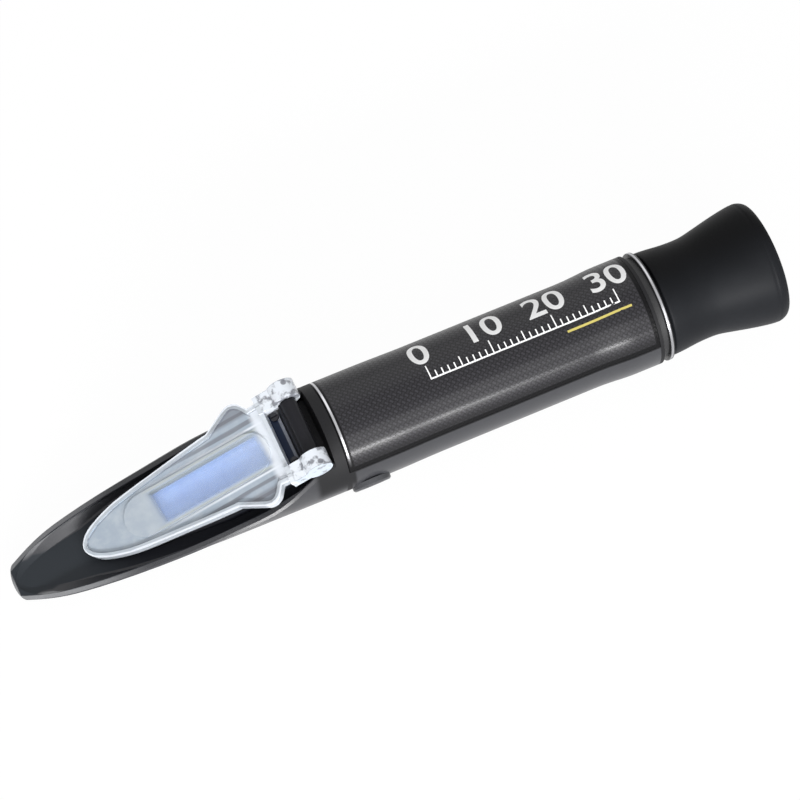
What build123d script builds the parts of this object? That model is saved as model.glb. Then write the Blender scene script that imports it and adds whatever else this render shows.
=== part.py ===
from build123d import *
import math
import os

# Hand-held prism refractometer, in millimetres.
# Built with X along the optical axis from the nose tip to the eyecup and Z = 0 on that axis,
# then moved so that the origin is on the bench, midway along the instrument.

# Body shell
nose_radius = 13.5
nose_corner = 2.5
nose_start_x = -1.4
front_radius = 14.1
waist_radius = 13.9
tail_radius = 14.45
shoulder_x = 81.6
grip_front_x = 96.0
waist_front_x = 110.0
body_length = 169.8
waist_rear_x = body_length - 17.8
tail_front_x = body_length - 6.8
bore_radius = 11.9
bore_front_x = 86.3
rest_flat_drop = 13.35
rim_width = 1.8
rim_bevel = 0.5
rim_line = [
    (nose_start_x, -12.8), (4.8, -11.5), (10.5, -10.05), (18.5, -8.4), (28.5, -6.5), (43, -3.6),
    (55.5, -0.6), (63, 0.9), (72.5, 5.8), (90, 7.8),
]
recess_wall = 0.7
recess_line = [(20, -11.0), (61, -2.6), (70, 1.9)]
recess_rear_height = 3.6
floor_tip_drop = 13.1
well_half_width = 5.3
well_drop = 10.3
well_front_x = 37.0
well_ledge_x = 71.5
well_ledge_height = 4.6
well_step_drop = 5.9
light_passage = 6.4
rest_flat_rear_x = 84.0

# Slanted prism stage
stage_angle = 21.5
stage_front_x = 20.0
stage_front_drop = 10.7
frame_half_width = 9.2
frame_nose_half_width = 6.2
frame_front_x = 31.0
frame_shoulder_x = 52.0
frame_rear_x = 73.9
frame_thickness = 3.2
gasket_thickness = 0.6
frame_screw_radius = 0.7
frame_screw_head_radius = 1.05
frame_screw_head_height = 0.7
frame_screw_reach = 6.25
frame_screw_length = 6.2
prism_front_x = 37.6
prism_length = 33.0
prism_width = 9.4
prism_depth = 7.4
prism_front_slope = 5.0
prism_rear_slope = 7.0
prism_margin = 0.5
prism_seal_width = 0.5
prism_seal_drop = 0.2

# Hinge
hinge_x = 76.7
hinge_height = 13.8
knuckle_radius = 3.5
roll_radius = 2.1
block_half_width = 7.4
block_top = 13.0
block_rear_x = 85.5
block_depth = 4.7
block_front_x = 74.2
pin_radius = 1.0
pin_overlap = 3.7
hinge_side_gap = 0.25
hinge_clearance = 0.05
part_clearance = 0.1

# Daylight plate
plate_thickness = 2.1
plate_gap = 0.3
plate_front_x = 19.7
plate_side = [(21.2, 3.0), (24.5, 5.0), (29.5, 6.7), (36.5, 7.9), (46.0, 9.1), (55.0, 10.2)]
plate_rear_half_width = 11.0
plate_rear_x = 71.5
ear_length = 4.6
arm_thickness = 3.4
tab_front_x = 54.0
tab_peak_x = 65.4
tab_rear_x = 69.8
tab_root_half_width = 8.6
tab_peak_half_width = 15.1
tab_corner = 3.4
lip_width = 1.1
lip_height = 0.5
window_half_width = 5.6
window_front_x = 31.0
window_rear_x = 69.3
window_height = 0.35

# Panel let into the top of the barrel
panel_front_x = 84.5
panel_rear_x = body_length - 1.0
panel_angle = 132.0
panel_joint_angle = 1.0
panel_thickness = 0.5
panel_chamfer = 0.3

# Scale adjuster
adjuster_x = 90.1
adjuster_angle = 108.0
bush_radius = 5.0
bush_proud = 1.1
bush_edge = 0.4
screw_ring_height = 12.2
screw_ring_section = 0.35
bush_seat_depth = 0.5
bush_stem_radius = 4.0
bush_inner_reach = 9.3
screw_radius = 2.9
screw_top = 14.6
screw_collar_radius = 3.4
screw_collar_height = 0.8
screw_slot_width = 0.9
screw_slot_depth = 1.3
eccentricity = 0.5
eccentric_pin_radius = 0.8
eccentric_pin_end = 6.9
running_clearance = 0.05
slide_clearance = 0.1
slide_room = 0.6

# Slide, strip and lens cell
slide_length = 5.6
slide_thickness = 2.2
slide_face = 8.9
slide_top = 3.0
slide_foot_drop = 8.2
slide_foot_height = 1.5
slide_foot_reach = 3.0
guide_wall = 0.7
guide_lip = 0.8
strip_thickness = 0.4
strip_width = 6.0
strip_rear_x = 114.0
strip_screw_radius = 0.8
strip_screw_head_radius = 1.4
strip_screw_head_height = 0.6
cell_front_x = 108.0
cell_length = 6.0
cell_radius = 7.6
lens_radius = 6.4
lens_edge = 2.2
lens_crown = 0.9
cell_lip = 0.9
cell_seat = 1.5
cell_foot_width = 6.0
objective_ring_length = 1.3
strip_screw_pitch = 3.4
strip_screw_length = 1.9
guide_top = 5.8
guide_drop = 6.0

# Lens tube
tube_front_x = 118.0
tube_radius = 11.8
tube_bore = 9.2
reticle_x = body_length - 21.8
reticle_thickness = 1.5
reticle_ring_length = 1.5
reticle_ring_bore = 8.6
stop_thickness = 1.5
stop_aperture = 6.5
focus_bore = 10.6
tube_flange_radius = 13.2
tube_end_x = body_length + 2.9
trim_front_x = body_length + 1.8
trim_seat_radius = 12.5
trim_round = 0.25
tube_ring_x = body_length - 13.8
ring_section = 0.3
ring_groove_margin = 0.08
set_screw_x = body_length - 27.8
set_screw_angle = 34.0
set_screw_radius = 1.5
set_screw_bite = 0.8

# Eyepiece
ocular_radius = 10.5
ocular_front_x = body_length - 14.3
ocular_rear_x = body_length + 16.7
ocular_bore = 8.6
ocular_front_aperture = 7.4
ocular_front_wall = 3.0
hub_radius = 11.2
eyecup_gap = 0.5
eye_lens_x = ocular_rear_x - 6.0
eye_lens_edge = 3.6
eye_lens_crown = 1.1
field_lens_edge = 2.6
field_lens_crown = 1.2
spacer_bore = 7.8
eye_ring_bore = 7.2
eye_ring_length = 1.4
focus_lead = 3.0
focus_travel = 2.5
groove_width = 1.6
groove_depth = 0.9
groove_x = body_length - 9.4
groove_run_out = 10.0
guide_screw_radius = 1.2
guide_tip_radius = 0.7
drag_ring_x = body_length - 6.2
drag_ring_length = 1.6
drag_ring_depth = 0.8
drag_key_width = 1.8
drag_key_height = 0.5
o_ring_x = body_length - 1.2
o_ring_section = 0.45

# Rubber eyecup
eyecup_length = 31.2
eyecup_front_radius = 13.8
eyecup_waist_radius = 13.2
eyecup_waist_reach = 10.0
eyecup_rim_radius = 16.0
eyecup_front_round = 0.5
eyecup_rim_round = 0.9
eyecup_flare_reach = 18.3
eyecup_flare_radius = 14.4
eyecup_rim_reach = 29.4
rim_inner_radius = 14.0
mouth_middle_radius = 11.6
mouth_middle_depth = 10.0
mouth_floor_radius = 9.6
mouth_floor_depth = 16.6
sight_hole_radius = 7.8


# Worked out from the sizes above
eyecup_x = tube_end_x + eyecup_gap
bush_seat = front_radius - bush_seat_depth
ring_room = screw_ring_section + running_clearance
guide_from = bore_front_x + part_clearance
guide_to = adjuster_x + slide_length
overall_length = eyecup_x + eyecup_length
stage_slope = math.tan(math.radians(stage_angle))
stage_plane = Plane(
    origin=(stage_front_x, 0, -stage_front_drop),
    x_dir=(math.cos(math.radians(stage_angle)), 0, math.sin(math.radians(stage_angle))),
    z_dir=(-math.sin(math.radians(stage_angle)), 0, math.cos(math.radians(stage_angle))),
)
to_bench = Pos(-overall_length / 2, 0, eyecup_rim_radius)
far = 4 * tail_radius
cut_past = 1.0


def along_stage(x):
    """Distance up the slanted stage for a distance along the optical axis."""
    return (x - stage_front_x) / math.cos(math.radians(stage_angle))


def stage_height(x):
    return -stage_front_drop + stage_slope * (x - stage_front_x)


def side_slab(face, half_width):
    """Side view face (X, Z) made into a solid that spans both sides of the optical axis."""
    return Pos(0, half_width, 0) * extrude(Plane.XZ * face, 2 * half_width)


def box_between(x_range, y_range, z_range):
    size = [high - low for low, high in (x_range, y_range, z_range)]
    middle = [(high + low) / 2 for low, high in (x_range, y_range, z_range)]
    return Pos(*middle) * Box(*size)


def turned(points):
    """Solid of revolution about the optical axis from (x, radius) corners."""
    return revolve(make_face(Polyline(*points, close=True)), Axis.X)


def tube(x0, x1, outer, inner):
    return turned([(x0, inner), (x1, inner), (x1, outer), (x0, outer)])


def disc(x0, x1, radius):
    return turned([(x0, 0), (x1, 0), (x1, radius), (x0, radius)])


def lens(x0, edge, radius, aperture, crown):
    """Lens with a flat seat outside its aperture and faces that stand out by the crown."""
    curve = (aperture ** 2 + crown ** 2) / (2 * crown)
    outline = Line((x0 - crown, 0), (x0 + edge + crown, 0))
    outline += RadiusArc((x0 + edge + crown, 0), (x0 + edge, aperture), -curve)
    outline += Polyline((x0 + edge, aperture), (x0 + edge, radius), (x0, radius), (x0, aperture))
    outline += RadiusArc((x0, aperture), (x0 - crown, 0), -curve)
    return revolve(make_face(outline), Axis.X)


def barrel_profile(inset):
    """Half section of the barrel, its outer line moved in towards the axis by inset."""
    nose = nose_radius - inset
    front = front_radius - inset
    waist = waist_radius - inset
    tail = tail_radius - inset
    corner_x = nose_start_x + nose_corner
    line = Line((nose_start_x, 0), (nose_start_x, nose - nose_corner))
    line += RadiusArc((nose_start_x, nose - nose_corner), (corner_x, nose), nose_corner)
    line += Line((corner_x, nose), (shoulder_x, front))
    line += Line((shoulder_x, front), (grip_front_x, front))
    line += Spline((grip_front_x, front), (waist_front_x, waist), tangents=[(1, 0), (1, 0)])
    line += Line((waist_front_x, waist), (waist_rear_x, waist))
    line += Spline((waist_rear_x, waist), (tail_front_x, tail), tangents=[(1, 0), (1, 0)])
    line += Line((tail_front_x, tail), (body_length, tail))
    line += Polyline((body_length, tail), (body_length, 0), (nose_start_x, 0))
    return make_face(line)


def barrel_skin(depth, x0, x1, span):
    """Curved sheet under the barrel's outer line, spread by span degrees about the top."""
    window = Pos((x0 + x1) / 2, 0) * Rectangle(x1 - x0, far)
    section = (barrel_profile(0) - barrel_profile(depth)) & window
    return Rot(90 - span / 2, 0, 0) * revolve(section, Axis.X, revolution_arc=span)


def above_rim():
    line = Spline(*rim_line)
    line += Polyline(rim_line[-1], (rim_line[-1][0], far), (rim_line[0][0] - far, far))
    line += Polyline((rim_line[0][0] - far, far), (rim_line[0][0] - far, rim_line[0][1]), rim_line[0])
    return make_face(line)


def stage_outline(clearance):
    """Outline of the prism frame on the stage, narrower towards the nose."""
    front = along_stage(frame_front_x) - clearance
    rear = along_stage(frame_rear_x) + clearance
    corners = [
        (front, frame_nose_half_width + clearance),
        (along_stage(frame_shoulder_x), frame_half_width + clearance),
        (rear, frame_half_width + clearance),
    ]
    return make_face(Polyline(*corners, *[(x, -y) for x, y in reversed(corners)], close=True))


def frame_seat():
    """Block of the shell under the prism frame and the hinge block."""
    drop = frame_thickness + gasket_thickness
    under_plate = stage_plane * Pos(0, 0, -drop - far) * extrude(stage_outline(0), far)
    under_block = box_between(
        (frame_rear_x - frame_thickness, shoulder_x + cut_past), (-frame_half_width, frame_half_width),
        (-far, stage_height(frame_rear_x) - drop / math.cos(math.radians(stage_angle))),
    )
    return under_plate + under_block


def mirrored_outline(tip, side, slope, rear_x):
    """Face with a round tip on the centre line, curved sides that end with a slope, and a straight rear."""
    run, rise = slope
    left = [(x, -y) for x, y in side]
    line = Spline(*reversed(side), tip, *left, tangents=[(-run, -rise), (run, -rise)])
    if rear_x > side[-1][0]:
        line += Polyline(left[-1], (rear_x, left[-1][1]), (rear_x, side[-1][1]), side[-1])
    else:
        line += Line(left[-1], side[-1])
    return make_face(line)


def nose_recess():
    """Hollow inside the rim, from the nose to the shoulder, round the seat."""
    def side(x, z):
        radius = nose_radius + (front_radius - nose_radius) * x / shoulder_x
        return (x, math.sqrt(radius ** 2 - min(z, 0) ** 2) - rim_width)

    near = [side(x, z) for x, z in rim_line[1:] if z < 0]
    inside = mirrored_outline((nose_start_x + rim_width, 0), near, (1, 0), shoulder_x)
    plan = Pos(0, 0, -far) * extrude(inside, 2 * far)
    floor = Polyline(
        (nose_start_x, -floor_tip_drop), *recess_line, (shoulder_x, recess_rear_height),
        (shoulder_x, far), (nose_start_x, far), close=True,
    )
    return plan & barrel_core(recess_wall) & side_slab(make_face(floor), far) - frame_seat()


def cut_away():
    """Everything over the nose: above the rim line and ahead of the shoulder, but for the seat."""
    ahead = Pos(shoulder_x / 2 - far, 0) * Rectangle(shoulder_x + 2 * far, 2 * far)
    return side_slab(above_rim() & ahead, far) - frame_seat()


def radial(solid):
    """Put a solid modelled along +Z from the axis onto the adjuster's place on the flank."""
    return Pos(adjuster_x, 0, 0) * Rot(adjuster_angle, 0, 0) * solid


def clocked(solid):
    """Turn a solid modelled with the adjuster square to its side into line with the adjuster."""
    return Rot(adjuster_angle - 90, 0, 0) * solid


def post(radius, low, high):
    return Pos(0, 0, (low + high) / 2) * Cylinder(radius, high - low)


def prism_well(margin, depth):
    """Straight sided well down from the stage for the prism, with a margin all round."""
    middle = along_stage(prism_front_x) + prism_length / 2
    return stage_plane * Pos(middle, 0, 0) * Box(
        prism_length + 2 * margin, prism_width + 2 * margin, 2 * depth
    )


def barrel_core(inset):
    return Rot(90, 0, 0) * revolve(barrel_profile(inset), Axis.X)


def frame_body(clearance, seat):
    """Slanted frame plate and hinge block, grown by a clearance and deepened by its seat."""
    depth = frame_thickness + seat
    plate = stage_plane * Pos(0, 0, -depth) * extrude(stage_outline(clearance), depth)
    block = box_between(
        (block_front_x - clearance, block_rear_x + clearance),
        (-block_half_width - clearance, block_half_width + clearance),
        (block_top - block_depth - clearance, block_top + (far if clearance else 0)),
    )
    return plate & barrel_core(rim_width + part_clearance - clearance) + block


def frame_screw_places():
    """Frame screws, set square to the stage in the gap behind the daylight plate."""
    along = along_stage((plate_rear_x + block_front_x) / 2)
    return [stage_plane * Pos(along, side * frame_screw_reach, 0) for side in (-1, 1)]


def set_screws(clearance):
    """Two set screws through the barrel wall, under the panel."""
    return [
        Pos(set_screw_x, 0, 0) * Rot(angle, 0, 0) * post(
            set_screw_radius + clearance, tube_radius - set_screw_bite - clearance,
            far if clearance else waist_radius - panel_thickness - part_clearance,
        )
        for angle in (-set_screw_angle, set_screw_angle)
    ]


def make_body_shell():
    shell = Rot(90, 0, 0) * revolve(barrel_profile(0), Axis.X) - cut_away()
    rim_edges = [
        edge for edge in shell.edges()
        if edge.length > far and edge.center().X < shoulder_x / 2 + rim_width
    ]
    shell = chamfer(rim_edges, rim_bevel)
    shell -= nose_recess()
    shell -= frame_body(part_clearance, gasket_thickness)
    well = Polyline(
        (well_front_x, -well_drop),
        (bore_front_x, -well_drop),
        (bore_front_x, -well_step_drop),
        (well_ledge_x + frame_thickness, -well_step_drop),
        (well_ledge_x + frame_thickness, well_ledge_height),
        (well_ledge_x, well_ledge_height),
        (well_ledge_x, stage_height(well_ledge_x)),
        (well_front_x, stage_height(well_front_x)),
        close=True,
    )
    shell -= side_slab(make_face(well), well_half_width)
    shell -= disc(well_ledge_x, bore_front_x + cut_past, light_passage)
    shell -= disc(bore_front_x, body_length + cut_past, bore_radius)
    shell -= box_between((2 * nose_start_x, rest_flat_rear_x), (-far, far), (-far, -rest_flat_drop))
    shell -= barrel_skin(
        panel_thickness,
        panel_front_x - part_clearance,
        panel_rear_x + part_clearance,
        panel_angle + panel_joint_angle,
    )
    shell -= radial(post(bush_radius + part_clearance, bush_seat, far))
    shell -= radial(post(bush_stem_radius + part_clearance, bush_inner_reach, far))
    for hole in set_screws(part_clearance):
        shell -= hole
    for place in frame_screw_places():
        shell -= place * post(frame_screw_radius + part_clearance, -frame_screw_length, 0)
    return shell


def make_grip_panel():
    panel = barrel_skin(panel_thickness, panel_front_x, panel_rear_x, panel_angle)
    outer_edges = [
        edge for edge in panel.edges()
        if abs(edge.center().X - panel_front_x) < part_clearance and edge.length > far / 2
    ]
    return chamfer(outer_edges[-1:], panel_chamfer * panel_thickness)


def make_prism_frame():
    frame = frame_body(0, 0)
    roll = Pos(hinge_x, 0, hinge_height) * Rot(90, 0, 0) * Cylinder(roll_radius, 2 * block_half_width)
    frame += roll
    frame += box_between(
        (block_front_x, hinge_x), (-block_half_width, block_half_width),
        (block_top - block_depth, hinge_height),
    )
    frame -= prism_well(prism_seal_width, prism_depth + frame_thickness)
    frame -= hinge_bar(hinge_clearance / 2)
    for place in frame_screw_places():
        frame -= place * post(frame_screw_radius + part_clearance, -frame_screw_length, far)
    return frame


def make_frame_gasket():
    """Flat seal between the slanted frame and its seat in the shell."""
    drop = frame_thickness + gasket_thickness
    sheet = stage_plane * Pos(0, 0, -drop) * extrude(stage_outline(0), gasket_thickness)
    sheet &= barrel_core(rim_width + part_clearance)
    sheet -= prism_well(prism_margin, prism_depth + frame_thickness)
    sheet -= side_slab(
        Pos((well_front_x + well_ledge_x) / 2, 0) * Rectangle(well_ledge_x - well_front_x, 2 * far),
        well_half_width,
    )
    for place in frame_screw_places():
        sheet -= place * post(frame_screw_radius + part_clearance, -frame_screw_length, far)
    return sheet


def make_main_prism():
    base = along_stage(prism_front_x)
    side = Polyline(
        (base, 0),
        (base + prism_length, 0),
        (base + prism_length - prism_rear_slope, -prism_depth),
        (base + prism_front_slope, -prism_depth),
        close=True,
    )
    middle = Plane(stage_plane.origin, x_dir=stage_plane.x_dir, z_dir=(0, -1, 0))
    return Pos(0, prism_width / 2, 0) * extrude(middle * make_face(side), prism_width)


def make_prism_seal():
    middle = along_stage(prism_front_x) + prism_length / 2
    outer = Rectangle(prism_length + 2 * prism_seal_width, prism_width + 2 * prism_seal_width)
    bead = outer - Rectangle(prism_length, prism_width)
    ring = extrude(bead, -frame_thickness + prism_seal_drop)
    ring = stage_plane * Pos(middle, 0, -prism_seal_drop) * ring
    return ring - make_main_prism()


def hinge_bar(clearance):
    length = 2 * (block_half_width + pin_overlap)
    return Pos(hinge_x, 0, hinge_height) * Rot(90, 0, 0) * Cylinder(
        pin_radius + clearance, length + 2 * clearance
    )


def make_hinge_pin():
    pin = hinge_bar(0)
    return chamfer(pin.edges().filter_by(GeomType.CIRCLE), pin_radius / 4)


def make_frame_screws():
    screws = []
    for place in frame_screw_places():
        screw = post(frame_screw_radius, -frame_screw_length, 0)
        head = post(frame_screw_head_radius, 0, frame_screw_head_height)
        slot = Pos(0, 0, frame_screw_head_height) * Box(
            2 * frame_screw_head_radius, frame_screw_radius / 2, frame_screw_head_height
        )
        screws.append(place * (screw + head - slot))
    return Compound(children=screws)


def plate_outline(inset):
    """Tongue shape of the daylight plate on the stage, moved in all round by inset."""
    tip = (along_stage(plate_front_x), 0)
    rear = (along_stage(plate_rear_x), plate_rear_half_width)
    points = [tip, *[(along_stage(x), y) for x, y in plate_side], rear]
    side = []
    for before, point, after in zip(points, points[1:], points[2:]):
        run, rise = after[0] - before[0], after[1] - before[1]
        length = math.hypot(run, rise)
        side.append((point[0] + inset * rise / length, point[1] - inset * run / length))
    tip = (tip[0] + inset, 0)
    rear = (rear[0] - inset, rear[1] - inset)
    slope = (rear[0] - side[-1][0], rear[1] - side[-1][1])
    return mirrored_outline(tip, [*side, rear], slope, rear[0])


def tab_outline(inset):
    """Both finger tabs as one kite, slanting out to a rounded peak on each side."""
    front = along_stage(tab_front_x)
    peak = along_stage(tab_peak_x)
    rear = along_stage(tab_rear_x)
    root, top = tab_root_half_width, tab_peak_half_width
    kite = make_face(Polyline(
        (front, root), (front, -root), (peak, -top), (rear, -root), (rear, root), (peak, top), close=True
    ))
    peaks = kite.vertices().sort_by(Axis.Y)
    kite = fillet([peaks[0], peaks[-1]], tab_corner)
    return offset(kite, -inset) if inset else kite


def make_daylight_plate():
    low = plate_gap
    high = plate_gap + plate_thickness
    over = stage_plane * Pos(0, 0, low)
    inside = stage_plane * Pos(0, 0, high)
    depth = plate_thickness + lip_height
    plate = over * extrude(plate_outline(0), depth) + over * extrude(tab_outline(0), depth)
    plate -= inside * extrude(plate_outline(lip_width), far)
    plate -= inside * extrude(tab_outline(lip_width), far)
    window_length = along_stage(window_rear_x) - along_stage(window_front_x)
    window_middle = (along_stage(window_rear_x) + along_stage(window_front_x)) / 2
    window = SlotOverall(window_length, 2 * window_half_width)
    plate += inside * Pos(window_middle, 0, 0) * extrude(window, window_height)
    inner = block_half_width + hinge_side_gap
    for side in (-1, 1):
        middle = side * (inner + ear_length / 2)
        knuckle = Pos(hinge_x, middle, hinge_height) * Rot(90, 0, 0) * Cylinder(
            knuckle_radius, ear_length
        )
        arm_rear = along_stage(hinge_x)
        arm_front = along_stage(plate_rear_x) - lip_width
        arm = stage_plane * Pos((arm_front + arm_rear) / 2, middle, low + arm_thickness / 2) * Box(
            arm_rear - arm_front, ear_length, arm_thickness
        )
        plate += knuckle + arm
    return plate - hinge_bar(hinge_clearance)


def spun(points):
    """Solid of revolution about a radial line from (radius, height) corners."""
    return revolve(make_face(Plane.XZ * Polyline(*points, close=True)), Axis.Z)


def make_adjuster_bush():
    bore = screw_radius + running_clearance
    collar = screw_collar_radius + running_clearance
    collar_top = bush_inner_reach + screw_collar_height + 2 * part_clearance
    top = front_radius + bush_proud
    return radial(spun([
        (collar, bush_inner_reach), (bush_stem_radius, bush_inner_reach), (bush_stem_radius, bush_seat),
        (bush_radius, bush_seat), (bush_radius, top - bush_edge), (bush_radius - bush_edge, top),
        (bore, top), (bore, collar_top), (collar, collar_top),
    ]))


def make_adjuster_screw():
    foot = bush_inner_reach + part_clearance
    screw = spun([
        (0, foot), (screw_collar_radius, foot), (screw_collar_radius, foot + screw_collar_height),
        (screw_radius, foot + screw_collar_height), (screw_radius, screw_ring_height - ring_room),
        (screw_radius - 2 * screw_ring_section, screw_ring_height - ring_room),
        (screw_radius - 2 * screw_ring_section, screw_ring_height + ring_room),
        (screw_radius, screw_ring_height + ring_room), (screw_radius, screw_top), (0, screw_top),
    ])
    screw += Pos(eccentricity, 0, 0) * post(eccentric_pin_radius, eccentric_pin_end, foot)
    screw -= Pos(0, 0, screw_top) * Box(2 * bush_radius, screw_slot_width, 2 * screw_slot_depth)
    return radial(screw)


def make_adjuster_o_ring():
    middle = screw_radius - screw_ring_section
    return radial(Pos(0, 0, screw_ring_height) * Torus(middle, screw_ring_section))


def make_adjuster_guide():
    half = slide_length / 2 + slide_clearance
    inner = -slide_face + slide_thickness + slide_clearance
    guide = box_between(
        (adjuster_x - half - guide_wall, adjuster_x + half + guide_wall),
        (-far, inner + guide_lip), (-guide_drop, guide_top),
    )
    guide &= tube(guide_from, guide_to, bore_radius - running_clearance, 0)
    guide -= box_between(
        (adjuster_x - half, adjuster_x + half), (-slide_face - slide_clearance, inner), (-far, far)
    )
    guide -= box_between(
        (adjuster_x - half + guide_lip, adjuster_x + half - guide_lip), (inner, far), (-far, far)
    )
    stem_hole = Rot(90, 0, 0) * post(bush_stem_radius + part_clearance, slide_face + slide_clearance, far)
    return clocked(guide - Pos(adjuster_x, 0, 0) * stem_hole)


def make_adjuster_slide():
    x_range = (adjuster_x - slide_length / 2, adjuster_x + slide_length / 2)
    web = box_between(x_range, (-slide_face, -slide_face + slide_thickness), (-slide_foot_drop, slide_top))
    foot = box_between(
        x_range, (-slide_face, slide_foot_reach), (-slide_foot_drop, -slide_foot_drop + slide_foot_height)
    )
    slot = Pos(adjuster_x, -slide_face, 0) * Box(
        2 * (eccentricity + eccentric_pin_radius + slide_clearance), 3 * slide_thickness,
        2 * (eccentric_pin_radius + running_clearance),
    )
    inside = tube(adjuster_x - slide_length, adjuster_x + slide_length, bore_radius - slide_room, 0)
    return clocked(((web + foot) & inside) - slot - strip_screw_set(part_clearance))


def make_bimetal_strip():
    strip = box_between(
        (adjuster_x - slide_length / 2, strip_rear_x), (-strip_width / 2, strip_width / 2),
        (-slide_foot_drop - strip_thickness, -slide_foot_drop),
    )
    return clocked(strip - strip_screw_set(part_clearance))


def strip_screw_set(clearance):
    """Shanks of the strip's four screws, two into the slide's foot and two into the cell's."""
    shanks = Part()
    for x in (adjuster_x, cell_front_x + cell_length / 2):
        for side in (-1, 1):
            shanks += Pos(x, side * strip_screw_pitch / 2, 0) * post(
                strip_screw_radius + clearance, -slide_foot_drop - strip_thickness - clearance,
                -slide_foot_drop - strip_thickness + strip_screw_length,
            )
    return shanks


def make_strip_screws():
    head_top = -slide_foot_drop - strip_thickness
    screws = []
    for shank in strip_screw_set(0).solids():
        middle = shank.center()
        head = Pos(middle.X, middle.Y, 0) * post(
            strip_screw_head_radius, head_top - strip_screw_head_height, head_top
        )
        screws.append(clocked(shank + head))
    return Compound(children=screws)


def make_lens_cell():
    rear_x = cell_front_x + cell_length
    seat_x = cell_front_x + cell_seat
    cell = turned([
        (cell_front_x, lens_radius - cell_lip), (seat_x, lens_radius - cell_lip),
        (seat_x, lens_radius), (rear_x, lens_radius), (rear_x, cell_radius), (cell_front_x, cell_radius),
    ])
    foot = box_between(
        (cell_front_x, rear_x), (-cell_foot_width / 2, cell_foot_width / 2),
        (-slide_foot_drop, -lens_radius - cell_lip / 2),
    )
    return clocked(cell + foot - strip_screw_set(part_clearance))


def make_objective_lens():
    return lens(cell_front_x + cell_seat, lens_edge, lens_radius, lens_radius - cell_lip, lens_crown)


def make_objective_ring():
    start = cell_front_x + cell_seat + lens_edge
    return tube(start, start + objective_ring_length, lens_radius, lens_radius - cell_lip)


def make_lens_tube():
    body = turned([
        (tube_front_x, tube_bore), (reticle_x, tube_bore), (reticle_x, focus_bore),
        (tube_end_x, focus_bore), (tube_end_x, trim_seat_radius), (trim_front_x, trim_seat_radius),
        (trim_front_x, tube_flange_radius), (body_length, tube_flange_radius),
        (body_length, tube_radius), (tube_front_x, tube_radius),
    ])
    groove = ring_section + ring_groove_margin
    body -= tube(
        tube_ring_x - groove, tube_ring_x + groove,
        bore_radius, bore_radius - 2 * ring_section - running_clearance,
    )
    body -= box_between(
        (drag_ring_x - part_clearance, drag_ring_x + drag_ring_length + focus_travel + part_clearance),
        (-drag_key_width / 2 - running_clearance, drag_key_width / 2 + running_clearance),
        (0, focus_bore + drag_key_height),
    )
    for screw in set_screws(part_clearance / 2):
        body -= screw
    return body - guide_screw_body(part_clearance / 2)


def guide_screw_body(clearance):
    """Guide screw on the underside of the lens tube, its tip in the ocular barrel's groove."""
    tip = ocular_radius - groove_depth + part_clearance
    screw = post(guide_screw_radius + clearance, focus_bore + running_clearance, tube_radius)
    screw += post(guide_tip_radius + clearance, tip, focus_bore + running_clearance)
    return Pos(groove_x, 0, 0) * Rot(180, 0, 0) * screw


def make_tube_screws():
    return Compound(children=set_screws(0))


def make_tube_o_ring():
    middle = bore_radius - running_clearance / 2 - ring_section
    return Pos(tube_ring_x, 0, 0) * Rot(0, 90, 0) * Torus(middle, ring_section)


def make_field_stop():
    return tube(tube_front_x, tube_front_x + stop_thickness, tube_bore, stop_aperture)


def make_reticle():
    return disc(reticle_x, reticle_x + reticle_thickness, focus_bore - running_clearance)


def make_reticle_ring():
    start = reticle_x + reticle_thickness
    return tube(start, start + reticle_ring_length, focus_bore - running_clearance, reticle_ring_bore)


def make_trim_ring():
    ring = tube(trim_front_x, tube_end_x, tail_radius, trim_seat_radius)
    circles = ring.edges().filter_by(GeomType.CIRCLE)
    outer = [edge for edge in circles if edge.radius > trim_seat_radius + trim_round]
    return fillet(outer, trim_round)


def helical_groove():
    """Cutter for the groove that the guide screw's tip runs in, turning with the focus travel."""
    turn = 360 * focus_travel / focus_lead + 2 * groove_run_out
    rise = focus_lead * turn / 360
    start_x = groove_x + focus_lead * groove_run_out / 360 - rise
    start_angle = math.radians(groove_run_out - turn - 90)
    start = Plane(
        origin=(start_x, 0, 0), x_dir=(0, math.cos(start_angle), math.sin(start_angle)), z_dir=(1, 0, 0)
    )
    path = start * Helix(focus_lead, rise, ocular_radius)
    section = Plane(path @ 0, x_dir=start.x_dir, z_dir=path % 0) * Rectangle(2 * groove_depth, groove_width)
    return sweep(section, path, is_frenet=True)


def make_ocular_barrel():
    barrel = turned([
        (ocular_front_x, ocular_front_aperture), (ocular_front_x + ocular_front_wall, ocular_front_aperture),
        (ocular_front_x + ocular_front_wall, ocular_bore), (ocular_rear_x, ocular_bore),
        (ocular_rear_x, hub_radius), (eyecup_x, hub_radius), (eyecup_x, ocular_radius),
        (ocular_front_x, ocular_radius),
    ])
    barrel -= tube(
        drag_ring_x - running_clearance, drag_ring_x + drag_ring_length + running_clearance,
        focus_bore, ocular_radius - drag_ring_depth,
    )
    room = o_ring_section + running_clearance
    barrel -= tube(o_ring_x - room, o_ring_x + room, focus_bore, ocular_radius - 2 * o_ring_section)
    return barrel - helical_groove()


def make_drag_ring():
    rear = drag_ring_x + drag_ring_length
    inner = ocular_radius - drag_ring_depth + running_clearance
    ring = tube(drag_ring_x, rear, focus_bore - running_clearance, inner)
    return ring + box_between(
        (drag_ring_x, rear), (-drag_key_width / 2, drag_key_width / 2),
        (inner + running_clearance, focus_bore + drag_key_height - running_clearance),
    )


def make_eyepiece_o_ring():
    middle = focus_bore - running_clearance - o_ring_section
    return Pos(o_ring_x, 0, 0) * Rot(0, 90, 0) * Torus(middle, o_ring_section)


def make_field_lens():
    front = ocular_front_x + ocular_front_wall
    return lens(front, field_lens_edge, ocular_bore, ocular_front_aperture, field_lens_crown)


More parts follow.
